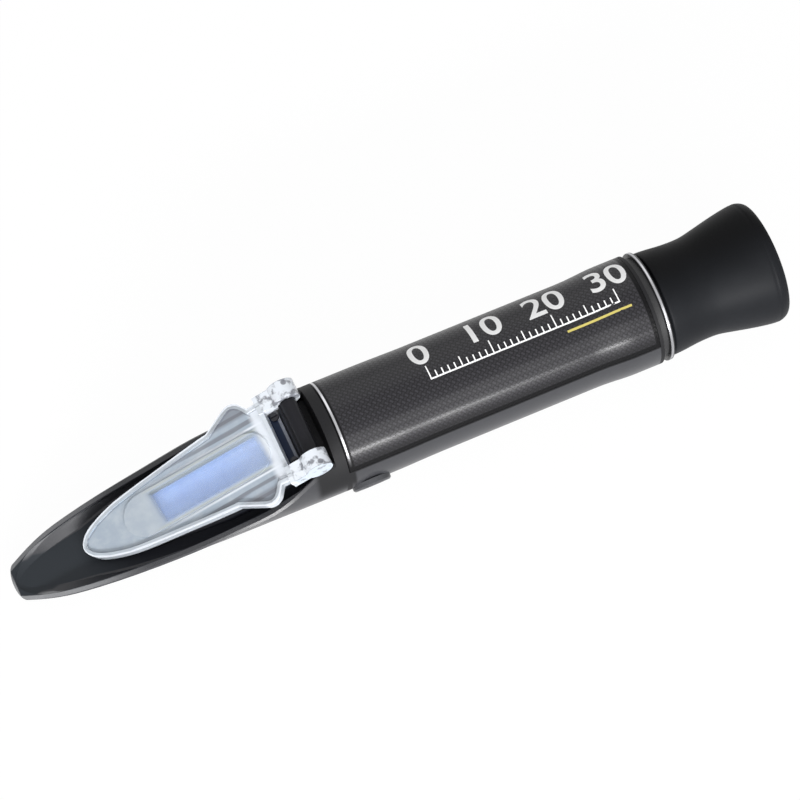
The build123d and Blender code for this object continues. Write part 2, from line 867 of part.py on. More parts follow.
def make_lens_spacer():
    front = ocular_front_x + ocular_front_wall + field_lens_edge
    return tube(front, eye_lens_x, ocular_bore, spacer_bore)


def make_eye_lens():
    return lens(eye_lens_x, eye_lens_edge, ocular_bore, eye_ring_bore, eye_lens_crown)


def make_eye_lens_ring():
    front = eye_lens_x + eye_lens_edge
    return tube(front, front + eye_ring_length, ocular_bore, eye_ring_bore)


def make_eyecup():
    """Rubber eyecup: gripped hub, drawn-in waist, flared mouth with a rounded lip."""
    rear = eyecup_x + eyecup_length
    waist = (eyecup_x + eyecup_waist_reach, eyecup_waist_radius)
    flare = (eyecup_x + eyecup_flare_reach, eyecup_flare_radius)
    rim = (eyecup_x + eyecup_rim_reach, eyecup_rim_radius)
    floor_x = rear - mouth_floor_depth
    front_edge = (eyecup_x + eyecup_front_round, eyecup_front_radius)
    outline = Line((eyecup_x, hub_radius), (eyecup_x, eyecup_front_radius - eyecup_front_round))
    outline += RadiusArc(
        (eyecup_x, eyecup_front_radius - eyecup_front_round), front_edge, eyecup_front_round
    )
    outline += Spline(front_edge, waist, flare, rim)
    outline += Spline(
        rim, (rear, (eyecup_rim_radius + rim_inner_radius) / 2 + eyecup_rim_round / 2),
        (rear - eyecup_rim_round, rim_inner_radius),
    )
    outline += Spline(
        (rear - eyecup_rim_round, rim_inner_radius), (rear - mouth_middle_depth, mouth_middle_radius),
        (floor_x, mouth_floor_radius),
    )
    outline += Polyline(
        (floor_x, mouth_floor_radius), (floor_x, sight_hole_radius), (ocular_rear_x, sight_hole_radius),
        (ocular_rear_x, hub_radius), (eyecup_x, hub_radius),
    )
    return revolve(make_face(outline), Axis.X)


pieces = {
    "body_shell": make_body_shell,
    "grip_panel": make_grip_panel,
    "prism_frame": make_prism_frame,
    "frame_gasket": make_frame_gasket,
    "frame_screws": make_frame_screws,
    "main_prism": make_main_prism,
    "prism_seal": make_prism_seal,
    "hinge_pin": make_hinge_pin,
    "daylight_plate": make_daylight_plate,
    "adjuster_bush": make_adjuster_bush,
    "adjuster_screw": make_adjuster_screw,
    "adjuster_o_ring": make_adjuster_o_ring,
    "adjuster_guide": make_adjuster_guide,
    "adjuster_slide": make_adjuster_slide,
    "bimetal_strip": make_bimetal_strip,
    "strip_screws": make_strip_screws,
    "lens_cell": make_lens_cell,
    "objective_lens": make_objective_lens,
    "objective_ring": make_objective_ring,
    "lens_tube": make_lens_tube,
    "field_stop": make_field_stop,
    "reticle": make_reticle,
    "reticle_ring": make_reticle_ring,
    "tube_screws": make_tube_screws,
    "tube_o_ring": make_tube_o_ring,
    "guide_screw": lambda: guide_screw_body(0),
    "trim_ring": make_trim_ring,
    "drag_ring": make_drag_ring,
    "ocular_barrel": make_ocular_barrel,
    "field_lens": make_field_lens,
    "lens_spacer": make_lens_spacer,
    "eye_lens": make_eye_lens,
    "eye_lens_ring": make_eye_lens_ring,
    "eyepiece_o_ring": make_eyepiece_o_ring,
    "eyecup": make_eyecup,
}

os.makedirs("parts", exist_ok=True)
for name, make in pieces.items():
    export_step(to_bench * make(), f"parts/{name}.step")
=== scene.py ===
import bpy
import bmesh
import math
from mathutils import Matrix, Vector


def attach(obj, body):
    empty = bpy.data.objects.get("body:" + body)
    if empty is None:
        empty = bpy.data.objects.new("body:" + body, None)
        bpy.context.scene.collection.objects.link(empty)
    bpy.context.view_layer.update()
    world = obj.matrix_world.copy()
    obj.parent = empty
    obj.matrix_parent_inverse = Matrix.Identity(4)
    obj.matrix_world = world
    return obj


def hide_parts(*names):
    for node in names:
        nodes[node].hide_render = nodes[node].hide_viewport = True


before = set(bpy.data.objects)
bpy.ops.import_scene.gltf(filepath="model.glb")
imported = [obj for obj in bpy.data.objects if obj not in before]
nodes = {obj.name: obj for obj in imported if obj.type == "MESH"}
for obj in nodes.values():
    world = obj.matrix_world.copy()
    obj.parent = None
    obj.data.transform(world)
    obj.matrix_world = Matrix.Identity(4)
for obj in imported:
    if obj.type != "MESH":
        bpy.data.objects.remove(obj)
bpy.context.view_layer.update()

# The instrument lies along X with its nose at -X. Sizes below are in millimetres,
# counted along the barrel from the nose tip and up from the optical axis.
barrel = {
    "halfLength": 102.2, "axisHeight": 16.0,
    "nose": 13.5, "front": 14.1, "waist": 13.9, "tail": 14.45,
    "shoulder": 81.6, "gripFrom": 96.0, "waistFrom": 110.0, "waistTo": 152.0, "tailFrom": 163.0,
}


def bench(along, across, above):
    return Vector((along - barrel["halfLength"], across, above + barrel["axisHeight"])) / 1000


def hullRadius(along):
    def swell(low, high, start, end):
        t = min(1.0, max(0.0, (along - start) / (end - start)))
        return low + (high - low) * t * t * (3 - 2 * t)
    if along < barrel["shoulder"]:
        return barrel["nose"] + (barrel["front"] - barrel["nose"]) * along / barrel["shoulder"]
    if along < barrel["waistTo"]:
        return swell(barrel["front"], barrel["waist"], barrel["gripFrom"], barrel["waistFrom"])
    return swell(barrel["waist"], barrel["tail"], barrel["waistTo"], barrel["tailFrom"])


# Shader maths

class Wire:  # one shader socket, so that masks can be written as sums
    def __init__(self, finish, socket):
        self.finish = finish
        self.socket = socket

    def take(self, name):
        return Wire(self.finish, self.socket.node.outputs[name])

    def __add__(self, other):
        return self.finish.sum("ADD", self, other)

    def __radd__(self, other):
        return self.finish.sum("ADD", other, self)

    def __sub__(self, other):
        return self.finish.sum("SUBTRACT", self, other)

    def __rsub__(self, other):
        return self.finish.sum("SUBTRACT", other, self)

    def __mul__(self, other):
        return self.finish.sum("MULTIPLY", self, other)

    def __rmul__(self, other):
        return self.finish.sum("MULTIPLY", other, self)

    def __truediv__(self, other):
        return self.finish.sum("DIVIDE", self, other)

    def __rtruediv__(self, other):
        return self.finish.sum("DIVIDE", other, self)

    def __abs__(self):
        return self.finish.sum("ABSOLUTE", self)

    def __mod__(self, other):
        return self.finish.sum("FLOORED_MODULO", self, other)

    def __gt__(self, other):
        return self.finish.sum("GREATER_THAN", self, other)

    def __lt__(self, other):
        return self.finish.sum("LESS_THAN", self, other)


class Finish:  # a material, or the world, that is built up node by node
    def __init__(self, name, world=None):
        self.material = world or bpy.data.materials.new(name)
        self.material.use_nodes = True
        self.tree = self.material.node_tree
        self.tree.nodes.clear()
        kind = "ShaderNodeOutputWorld" if world else "ShaderNodeOutputMaterial"
        self.output = self.tree.nodes.new(kind)

    def node(self, kind, settings=None, sockets=None, out=0):
        made = self.tree.nodes.new(kind)
        for name, value in (settings or {}).items():
            if name == "stops":
                ramp = made.color_ramp.elements
                while len(ramp) < len(value):
                    ramp.new(0.5)
                for stop, (place, colour) in zip(ramp, value):
                    stop.position = place
                    stop.color = colour
            else:
                setattr(made, name, value)
        for name, value in (sockets or {}).items():
            self.feed(made.inputs[name], value)
        return Wire(self, made.outputs[out])

    def feed(self, socket, value):
        if isinstance(value, Wire):
            self.tree.links.new(value.socket, socket)
        else:
            socket.default_value = value

    def sum(self, operation, first, second=0.0, third=0.0):
        return self.node("ShaderNodeMath", {"operation": operation}, {0: first, 1: second, 2: third})

    def ease(self, value, low, high):  # 0 below low, 1 above high, smooth between
        if low > high:
            return 1 - self.ease(value, high, low)
        return self.node(
            "ShaderNodeMapRange", {"interpolation_type": "SMOOTHSTEP"},
            {"Value": value, "From Min": low, "From Max": high},
        )

    def band(self, value, low, high, soft):
        return self.ease(value, low - soft, low + soft) * self.ease(value, high + soft, high - soft)

    def larger(self, first, second):
        return self.sum("MAXIMUM", first, second)

    def blendColour(self, mask, under, over):
        return self.node("ShaderNodeMix", {"data_type": "RGBA"}, {0: mask, 6: under, 7: over}, out=2)

    def spot(self):  # the place itself, as a grain's ground
        return self.node("ShaderNodeTexCoord", out="Object")

    def places(self):  # millimetres along the barrel, across it and above its axis
        at = self.spot()
        split = self.node("ShaderNodeSeparateXYZ", {}, {0: at})
        along = split.take("X") * 1000 + barrel["halfLength"]
        return along, split.take("Y") * 1000, split.take("Z") * 1000 - barrel["axisHeight"], at

    def curveOf(self, value, points, low, high):  # straight lines between (place, height) points
        first, last = points[0][0], points[-1][0]
        stops = []
        for place, height in points:
            level = (height - low) / (high - low)
            stops.append(((place - first) / (last - first), (level, level, level, 1)))
        ramp = self.node("ShaderNodeValToRGB", {"stops": stops}, {0: (value - first) / (last - first)})
        return ramp * (high - low) + low

    def grain(self, at, scale, detail=2.0, rough=0.5, spread=None):
        where = at
        if spread:
            where = self.node("ShaderNodeMapping", {}, {"Vector": at, "Scale": spread})
        return self.node("ShaderNodeTexNoise", {}, {
            "Vector": where, "Scale": scale, "Detail": detail, "Roughness": rough,
        })

    def dent(self, height, distance, strength=1.0):
        return self.node("ShaderNodeBump", {}, {
            "Strength": strength, "Distance": distance, "Height": height,
        })

    def skin(self, **values):  # Principled shader, its sockets named as baseColor=, coatWeight= and so on
        sockets = {}
        for key, value in values.items():
            words = "".join(" " + c if c.isupper() else c for c in key).title()
            sockets[words.replace("Ior", "IOR").replace("I O R", "IOR")] = value
        return self.node("ShaderNodeBsdfPrincipled", {}, sockets)

    def done(self, shader):
        self.tree.links.new(shader.socket, self.output.inputs["Surface"])
        return self.material


def wear(material, *names):
    for name in names:
        mesh = nodes[name].data
        mesh.materials.clear()
        mesh.materials.append(material)


# Satin paint of the barrel, the rim and the hollow nose

shellLook = {
    "hull": (0.024, 0.0245, 0.028, 1), "hullFleck": (0.045, 0.046, 0.051, 1),
    # side is a painted shade colour for the deep part of the hollow
    "floor": (0.013, 0.016, 0.02, 1), "side": (0.006, 0.007, 0.011, 1),
    # lip is a painted highlight colour for the rim lip; lipBack is the lip's own dark tone
    "lip": (0.3, 0.305, 0.315, 1), "lipBack": (0.045, 0.046, 0.05, 1), "plateau": (0.004, 0.004, 0.005, 1),
    "rimLine": [(-1.4, -12.8), (4.8, -11.5), (10.5, -10.05), (18.5, -8.4), (28.5, -6.5), (43, -3.6),
                (55.5, -0.6), (63, 0.9), (72.5, 5.8), (90, 7.8)],
    "roughness": 0.36, "fleckScale": 2600.0,
}


def satinPaint():
    f = Finish("satinPaint")
    along, across, above, at = f.places()
    fleck = f.grain(at, shellLook["fleckScale"], 2, 0.6)
    cloud = f.grain(at, 90, 4, 0.6)
    rim = f.curveOf(along, shellLook["rimLine"], -14.0, 10.0)
    hull = f.sum("MULTIPLY_ADD", along, 0.00735, barrel["nose"])
    halfWidth = f.sum("SQRT", f.larger(hull * hull - above * above, 0.0))
    inward = f.sum("MINIMUM", halfWidth - abs(across), along + 1.4)
    ahead = f.ease(along, 78.5, 76.5)
    lip = f.band(inward, 0.5, 1.6, 0.15) * f.ease(abs(above - rim), 0.75, 0.55) * ahead
    inside = f.ease(inward, 1.62, 1.78) * f.ease(along, 83.0, 81.0)
    # Painted shade: the hollow's floor turns darker from 16 to 34 mm back, where it lies deep beside the
    # plate
    side = inside * f.ease(along, 16, 34)
    plateau = f.ease(above, -3.0, 2.5) * f.ease(along, 75.0, 77.0) * f.ease(along, 86.4, 85.6)
    turned = f.sum("ARCTAN2", abs(across), above)
    groove = f.larger(f.band(along, 83.4, 84.8, 0.15), f.ease(along, 168.7, 168.9))
    groove = f.larger(groove, f.ease(turned, 1.2, 1.18) * f.ease(along, 84.0, 84.6))
    matt = f.larger(f.larger(inside, plateau), groove)
    paint = f.blendColour(fleck * 0.45 + cloud * 0.2, shellLook["hull"], shellLook["hullFleck"])
    paint = f.blendColour(inside, paint, shellLook["floor"])
    paint = f.blendColour(side, paint, shellLook["side"])
    paint = f.blendColour(f.larger(plateau, groove), paint, shellLook["plateau"])
    # Painted highlight: the rim lip is pale towards the nose tip, most on the -Y side, in uneven patches;
    # further back it keeps the dark lipBack tone
    wearAndGlintPatches = f.ease(f.grain(at, 420, 5, 0.7), 0.5, 0.78)
    front = f.ease(along, 34, 12) * (0.4 + f.ease(across, 4, -2) * 0.6)
    lipHighlightTone = f.blendColour(front * (0.75 + wearAndGlintPatches * 0.25), shellLook["lipBack"], shellLook["lip"])
    paint = f.blendColour(lip * 0.9, paint, lipHighlightTone)
    rough = cloud * 0.12 + fleck * 0.06 + (shellLook["roughness"] - 0.09)
    return f.done(f.skin(
        baseColor=paint, roughness=rough - lip * 0.08 + matt * 0.25,
        normal=f.dent(fleck + cloud * 0.5, 0.000012, 0.5),
        ior=1.5, specularIORLevel=0.25, coatWeight=matt * -0.15 + 0.15, coatRoughness=0.2,
    ))


# Woven panel with a bright front edge

panelLook = {
    "from": 84.5, "cell": 0.95, "wrap": 14.0, "slant": 1.414,
    "tow": (0.006, 0.0058, 0.007, 1), "towLit": (0.03, 0.0285, 0.034, 1),
    "gap": (0.003, 0.003, 0.0035, 1), "edge": (0.5, 0.5, 0.52, 1),
}


def wovenPanel():
    f = Finish("wovenPanel")
    along, across, above, at = f.places()
    cell = panelLook["cell"]
    wrapped = f.sum("ARCTAN2", across, above) * panelLook["wrap"]  # millimetres round the barrel
    warp = (along + wrapped) / (cell * panelLook["slant"])
    weft = (along - wrapped) / (cell * panelLook["slant"])
    step = f.sum("FLOOR", warp) + f.sum("FLOOR", weft)
    over = (step % 2.0) < 0.5
    one, two = warp % 1.0, weft % 1.0
    bulgeOne = f.sum("SINE", one * math.pi)
    bulgeTwo = f.sum("SINE", two * math.pi)
    bulge = over * bulgeOne + (1 - over) * bulgeTwo
    hairs = f.grain(at, 1500, 3, 0.65)
    lit = f.ease(bulge, 0.25, 0.95) * (0.55 + over * 0.45)
    cloth = f.blendColour(lit * (0.6 + hairs * 0.5), panelLook["tow"], panelLook["towLit"])
    cloth = f.blendColour(f.ease(bulge, 0.3, 0.05), cloth, panelLook["gap"])
    fromFront = along - panelLook["from"]
    turned = f.sum("ARCTAN2", abs(across), above)
    ends = f.larger(f.ease(fromFront, 1.6, 1.45), f.ease(fromFront, 83.2, 83.4))
    # Painted shade: a dark strip along both long edges of the panel, half dark from about 53 degrees round
    # from the top and fully dark from about 60; the dark ends at front and back are seams
    seamsAndEdgeShade = f.larger(ends, f.ease(turned, 1.05, 1.07))
    cloth = f.blendColour(f.ease(turned, 0.92, 0.98) * 0.5, cloth, panelLook["gap"])
    cloth = f.blendColour(seamsAndEdgeShade, cloth, panelLook["gap"])
    # The front edge: a bright metal band, partly real metal and partly painted highlight; its fading out
    # towards the -Y side is painted shade
    edge = f.band(fromFront, 0.4, 0.95, 0.08) * f.ease(across, -12.5, -7.5)
    brushed = f.grain(at, 700, 3, 0.6, (8.0, 1.0, 1.0))
    colour = f.blendColour(edge, cloth, panelLook["edge"])
    return f.done(f.skin(
        baseColor=colour, metallic=edge, normal=f.dent(bulge * (1 - edge), 0.00004, 0.6),
        roughness=edge * (brushed * 0.2) + (1 - edge) * (0.44 - lit * 0.12) + edge * 0.12,
        coatWeight=(1 - f.larger(edge, seamsAndEdgeShade)) * 0.3, coatRoughness=0.22, ior=1.5, specularIORLevel=0.12,
    ))


# Frosted clear plate over the prism

plateLook = {
    "slope": 21.5, "stageFrom": 20.0, "stageDrop": 10.7, "top": 2.4, "rear": 71.5,
    "outline": [(19.7, 0.0), (19.9, 1.1), (20.3, 1.9), (21.2, 3.0), (24.5, 5.0), (29.5, 6.7), (36.5, 7.9),
                (46.0, 9.1), (57.0, 10.3), (62.66, 13.54), (64.34, 13.99), (65.6, 13.75), (66.5, 13.2),
                (67.17, 12.49), (68.3, 10.85), (71.5, 10.95)],
    "body": (0.33, 0.39, 0.46, 1), "pale": (0.5, 0.54, 0.58, 1), "dark": (0.13, 0.135, 0.16, 1),
    "wall": (0.4, 0.43, 0.47, 1), "haze": (0.66, 0.78, 0.95, 1), "bright": (0.74, 0.78, 0.84, 1),
    "warm": (0.4, 0.43, 0.38, 1), "prismFrom": 39.2, "prismTo": 68.0, "prismHalf": 4.8,
    "pin": 77.3, "pinOut": 11.3, "earSide": 12.25,
}


def edgeDistance(f, planX, wide):  # how far inside the plate's outline, in millimetres
    outline = plateLook["outline"]
    lean = []
    for (x0, y0), (x1, y1) in zip(outline, outline[1:]):
        level = (x1 - x0) / math.hypot(x1 - x0, y1 - y0)
        lean += [(x0 + 0.02, level), (x1 - 0.02, level)]
    return (f.curveOf(planX, outline, 0.0, 15.0) - wide) * f.curveOf(planX, lean, 0.0, 1.0)


def clearPlate():
    f = Finish("clearPlate")
    p = plateLook
    along, across, above, at = f.places()
    slope = math.radians(p["slope"])
    height = (above + p["stageDrop"]) * math.cos(slope) - (along - p["stageFrom"]) * math.sin(slope)
    reach = (along - p["stageFrom"]) * math.cos(slope) + (above + p["stageDrop"]) * math.sin(slope)
    planX = reach * math.cos(slope) + p["stageFrom"]
    wide = abs(across)
    onPlate = f.ease(planX, p["rear"] + 0.2, p["rear"] - 0.2)
    inward = edgeDistance(f, planX, wide)
    streak = f.grain(at, 90, 3, 0.6, (0.25, 5.0, 1.0))
    smoke = f.grain(at, 220, 4, 0.6)
    fine = f.grain(at, 1400, 3, 0.65)
    back = f.ease(planX, 30, 60)

    # The body: pale at the tip, with long grey bands beside the prism
    body = f.blendColour(f.ease(smoke, 0.35, 0.75) * 0.5, p["body"], p["pale"])
    bands = f.ease(f.sum("SINE", across * 2.3 + streak * 4.0), 0.0, 0.8) * f.ease(wide, 5.0, 6.2)
    body = f.blendColour(bands * (back * 0.55 + 0.2), body, p["dark"])
    tab = f.ease(wide, 9.4, 10.4) * f.ease(planX, 56, 58)
    body = f.blendColour(tab * (0.35 + smoke * 0.5), body, p["dark"])

    # A clear window over the prism, in a pale frame
    window = f.band(planX + across * 0.12, p["prismFrom"], p["prismTo"], 1.1)
    window = window * f.ease(wide, p["prismHalf"] + 0.5, p["prismHalf"] - 0.7)
    frameLine = f.band(wide, 4.9, 5.5, 0.3) * f.ease(planX, 36, 40) * onPlate
    body = f.blendColour(frameLine * 0.7, body, p["warm"])
    body = f.blendColour(f.band(wide, 5.9, 6.4, 0.25) * back * onPlate, body, p["bright"])
    body = f.blendColour(window, body, p["haze"])
    body = f.blendColour(f.band(planX, 68.0, 71.8, 0.9) * 0.9, body, p["bright"])
    mist = f.ease(streak + f.ease(planX, 54, 70) * 0.5, 0.45, 1.05)
    solid = 1 - window * (0.84 - mist * 0.16)

    # Polished edge: a bright line outside and a pale top on the lip, both painted highlight, and a grey
    # foot line where the lip stands on the plate, painted shade
    edge = f.ease(inward, 0.42, 0.24) * f.ease(height, p["top"], p["top"] + 0.3) * onPlate
    wall = f.ease(inward, 0.12, 0.04) * f.ease(height, p["top"] + 0.3, p["top"]) * onPlate
    lipTopHighlight = f.ease(height, p["top"] + 0.3, p["top"] + 0.42) * onPlate
    footShade = f.band(inward, 1.1, 1.35, 0.12) * onPlate
    body = f.blendColour(lipTopHighlight * (0.3 + fine * 0.5), body, p["pale"])
    body = f.blendColour(footShade * 0.55, body, p["dark"])
    body = f.blendColour(wall, body, p["wall"])
    body = f.blendColour(edge, body, p["bright"])

    # Moulded ears: clear, with grey veins
    ears = f.ease(planX, p["rear"] - 0.1, p["rear"] + 0.4)
    veins = f.ease(f.grain(at, 430, 3, 0.6), 0.47, 0.64)
    outer = f.ease(wide, p["earSide"] - 0.15, p["earSide"] - 0.05)
    earBase = f.blendColour(outer * 0.85, p["bright"], p["body"])
    ear = f.blendColour(veins * 0.85, earBase, p["dark"])
    pinAlong, pinWide = along - p["pin"], wide - p["pinOut"]
    pinEnd = f.sum("SQRT", pinAlong * pinAlong + pinWide * pinWide)
    ear = f.blendColour(f.ease(pinEnd, 0.85, 0.55) * 0.85, ear, p["dark"])
    body = f.blendColour(ears, body, ear)
    return f.done(f.skin(
        baseColor=body, alpha=solid, roughness=0.14 + smoke * 0.12, transmissionWeight=0.12, ior=1.49,
        normal=f.dent(smoke + streak + fine * 0.2, 0.00003, 0.35), coatWeight=0.6, coatRoughness=0.06,
    ))


# Plainer finishes: a base colour that varies a little, with its own grain

def speckled(name, colour, roughness, metallic=0.0, scale=900.0, bump=0.00001, **more):
    f = Finish(name)
    at = f.spot()
    speck = f.grain(at, scale, 3, 0.6)
    lighter = tuple(min(1.0, c * 1.35 + 0.004) for c in colour[:3]) + (1,)
    return f.done(f.skin(
        baseColor=f.blendColour(speck, colour, lighter), roughness=speck * 0.14 + (roughness - 0.07),
        metallic=metallic, normal=f.dent(speck, bump, 0.4), **more,
    ))


def turnedMetal(name, colour, roughness, around=900.0):
    f = Finish(name)
    at = f.spot()
    lines = f.grain(at, around, 2, 0.6, (4.0, 0.5, 0.5))
    darker = tuple(c * 0.7 for c in colour[:3]) + (1,)
    return f.done(f.skin(
        baseColor=f.blendColour(lines, darker, colour), roughness=lines * 0.15 + (roughness - 0.07),
        metallic=1.0, normal=f.dent(lines, 0.000006, 0.5),
    ))


trimLook = {
    "dull": (0.36, 0.36, 0.38, 1), "bright": (0.5, 0.5, 0.52, 1), "black": (0.008, 0.008, 0.009, 1),
    "bareFrom": 171.75, "bareTo": 172.3,
}


def trimMetal():
    f = Finish("trimMetal")
    along, _, above, at = f.places()
    lines = f.grain(at, 900, 2, 0.6, (4.0, 0.5, 0.5))
    # Painted reflection: bare metal shows only in a narrow band on the upper side of the ring, as a painted
    # highlight; the black on the rest of the ring is painted shade
    bareGlintBand = f.band(along, trimLook["bareFrom"], trimLook["bareTo"], 0.12) * f.ease(above, -6.0, 2.0)
    colour = f.blendColour(lines, trimLook["dull"], trimLook["bright"])
    return f.done(f.skin(
        baseColor=f.blendColour(bareGlintBand, trimLook["black"], colour), metallic=bareGlintBand,
        roughness=lines * 0.15 + 0.2, normal=f.dent(lines, 0.000006, 0.5), specularIORLevel=0.2,
    ))


frameLook = {
    "black": (0.006, 0.006, 0.008, 1), "speck": (0.012, 0.012, 0.015, 1), "navy": (0.008, 0.014, 0.032, 1),
    "line": (0.22, 0.23, 0.26, 1), "barFrom": 71.0, "barTo": 74.05, "lineFrom": 73.2,
}


def framePaint():
    f = Finish("framePaint")
    along, _, above, at = f.places()
    speck = f.grain(at, 1800, 3, 0.6)
    # Painted reflection: a navy band on the front of the hinge roll stands in for the blue it reflects, and
    # the grey line on its front edge is a painted highlight
    frontReflection = f.band(along, frameLook["barFrom"], frameLook["barTo"], 0.2) * f.ease(above, -1.0, 0.5)
    colour = f.blendColour(speck, frameLook["black"], frameLook["speck"])
    colour = f.blendColour(frontReflection, colour, frameLook["navy"])
    line = frontReflection * f.ease(along, frameLook["lineFrom"] - 0.1, frameLook["lineFrom"] + 0.1)
    colour = f.blendColour(line * (0.5 + speck * 0.5), colour, frameLook["line"])
    return f.done(f.skin(
        baseColor=colour, roughness=speck * 0.14 + 0.27, normal=f.dent(speck, 0.00001, 0.4),
        specularIORLevel=0.15,
    ))


print("finishes")
wear(satinPaint(), "body_shell")
wear(wovenPanel(), "grip_panel")
wear(clearPlate(), "daylight_plate")
wear(framePaint(), "prism_frame")
wear(speckled("bushPaint", (0.04, 0.041, 0.045, 1), 0.36, 0.0, 1800, specularIORLevel=0.3), "adjuster_bush")
wear(speckled("softSeal", (0.008, 0.008, 0.009, 1), 0.62, specularIORLevel=0.2), "frame_gasket",
     "prism_seal", "adjuster_o_ring", "tube_o_ring", "eyepiece_o_ring", "drag_ring")
wear(turnedMetal("screwSteel", (0.6, 0.6, 0.61, 1), 0.26), "hinge_pin", "adjuster_screw", "strip_screws",
     "tube_screws", "guide_screw")
wear(turnedMetal("screwBlack", (0.05, 0.05, 0.055, 1), 0.3), "frame_screws")
# Painted glow: the clear prism is given a bright blue base colour in place of the light it refracts
wear(speckled("prismGlassGlow", (0.29, 0.43, 0.88, 1), 0.12, 0.0, 300, ior=1.72, coatWeight=0.5,
              coatRoughness=0.05), "main_prism")
wear(turnedMetal("slideBrass", (0.62, 0.46, 0.2, 1), 0.3), "adjuster_slide", "bimetal_strip")
wear(speckled("guideNylon", (0.6, 0.58, 0.52, 1), 0.45), "adjuster_guide")
wear(speckled("innerBlack", (0.012, 0.012, 0.013, 1), 0.6, 0.0, 1500), "lens_cell", "objective_ring",
     "lens_tube", "field_stop", "reticle_ring", "ocular_barrel", "lens_spacer", "eye_lens_ring")
wear(speckled("lensGlass", (0.75, 0.8, 0.9, 1), 0.08, 0.0, 300, transmissionWeight=0.9, ior=1.52,
              coatWeight=1.0), "objective_lens", "reticle", "field_lens", "eye_lens")
wear(trimMetal(), "trim_ring")


# Pieces made here

def addMesh(name, bm, material, smooth=True):
    mesh = bpy.data.meshes.new(name)
    bm.to_mesh(mesh)
    bm.free()
    mesh.materials.append(material)
    for face in mesh.polygons:
        face.use_smooth = smooth
    made = bpy.data.objects.new(name, mesh)
    bpy.context.scene.collection.objects.link(made)
    return made


def latheMesh(profile, steps):  # profile: (along, radius) points, closed round the axis
    bm = bmesh.new()
    rings = []
    for along, radius in profile:
        ring = []
        for i in range(steps):
            turn = math.tau * i / steps
            ring.append(bm.verts.new(bench(along, radius * math.sin(turn), radius * math.cos(turn))))
        rings.append(ring)
    for a, b in zip(rings, rings[1:] + rings[:1]):
        for i in range(steps):
            j = (i + 1) % steps
            bm.faces.new((a[i], a[j], b[j], b[i]))
    bmesh.ops.recalc_face_normals(bm, faces=bm.faces)
    return bm


def throughPoints(points, parts):  # smooth line through the points (Catmull-Rom)
    line = []
    padded = [points[0]] + points + [points[-1]]
    for p0, p1, p2, p3 in zip(padded, padded[1:], padded[2:], padded[3:]):
        for k in range(parts):
            t = k / parts
            line.append(tuple(
                0.5 * (2 * b + (c - a) * t + (2 * a - 5 * b + 4 * c - d) * t * t
                       + (3 * b - a - 3 * c + d) * t ** 3)
                for a, b, c, d in zip(p0, p1, p2, p3)
            ))
    return line + [points[-1]]


# Rubber eyecup, turned as one closed skin with a rolled lip and a moulding line

eyecup = {
    "outside": [(173.3, 13.1), (173.5, 13.5), (174.1, 13.68), (177.0, 13.5), (180.0, 13.2), (183.4, 13.05),
                (186.6, 13.2), (190.6, 14.0), (194.6, 14.85), (198.4, 15.55), (201.2, 15.92)],
    "lip": [(202.3, 15.92), (203.2, 15.7), (203.95, 15.3), (204.3, 14.85), (204.15, 14.45), (203.4, 14.12)],
    "inside": [(202.6, 13.85), (199.0, 12.9), (195.0, 11.7), (191.0, 10.5), (188.2, 9.75), (187.85, 9.6)],
    "floor": [(187.8, 9.3), (187.8, 7.95), (187.3, 7.85), (186.6, 7.9), (186.55, 11.25)],
    "front": [(173.2, 11.3), (173.2, 13.1)], "grooves": [(201.6, 0.12, 0.18)], "grooveReach": 14.5,
    "steps": 128,
    "rubber": (0.0008, 0.0009, 0.0012, 1), "bloom": (0.0024, 0.0026, 0.0036, 1),
    # painted sheen colour for the near (-Y) side of the rubber
    "nearSideSheen": (0.021, 0.0225, 0.026, 1),
}


def rubberSkin():
    f = Finish("eyecupRubber")
    _, across, above, at = f.places()
    fine = f.grain(at, 2400, 3, 0.7)
    wide = f.grain(at, 70, 4, 0.6)
    bloom = f.ease(wide, 0.45, 0.75)
    colour = f.blendColour(bloom * 0.6 + fine * 0.3, eyecup["rubber"], eyecup["bloom"])
    # Painted sheen: the near (-Y) side of the rubber is painted paler, in uneven patches, in place of the
    # light it catches
    nearSideSheen = f.ease(across, 6, -9) * (0.65 + wide * 0.7)
    colour = f.blendColour(nearSideSheen * 0.5, colour, eyecup["nearSideSheen"])
    fromAxis = f.sum("SQRT", across * across + above * above)
    seam = f.ease(abs(across), 0.12, 0.04) * f.ease(fromAxis, 12.6, 12.8)
    return f.done(f.skin(
        baseColor=colour, roughness=0.4 + fine * 0.12 + bloom * 0.08, specularIORLevel=0.07,
        normal=f.dent(fine * 0.5 + seam * 0.8, 0.00003, 0.5), ior=1.5,
    ))


def makeEyecup():
    outside = throughPoints(eyecup["outside"] + eyecup["lip"] + eyecup["inside"], 4)
    for place, depth, width in eyecup["grooves"]:
        outside = [
            (x, r - depth * math.exp(-((x - place) / width) ** 2)) if r > eyecup["grooveReach"] else (x, r)
            for x, r in outside
        ]
    profile = eyecup["front"] + outside + eyecup["floor"]
    made = addMesh("eyecupSkin", latheMesh(profile, eyecup["steps"]), rubberSkin())
    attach(made, "eyepiece")
    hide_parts("eyecup")


print("eyecup")
makeEyecup()

# Printed scale on the panel: plain graduations, their numbers and a yellow line

printLook = {
    "lift": 0.03, "white": (0.98, 0.98, 0.98, 1), "yellow": (0.5, 0.42, 0.1, 1),
    "from": 111.5, "pitch": 1.7, "count": 30, "height": 7.6, "line": 0.4, "facet": 0.7,
    "base": 1.0, "numbersAt": -3.6, "marks": {10: 3.6, 5: 2.6, 1: 1.6}, "markHalf": 0.16, "overrun": 0.2,
    "yellowFrom": 147.5, "yellowTo": 165.0, "yellowNear": 2.9, "yellowFar": 3.5,
}


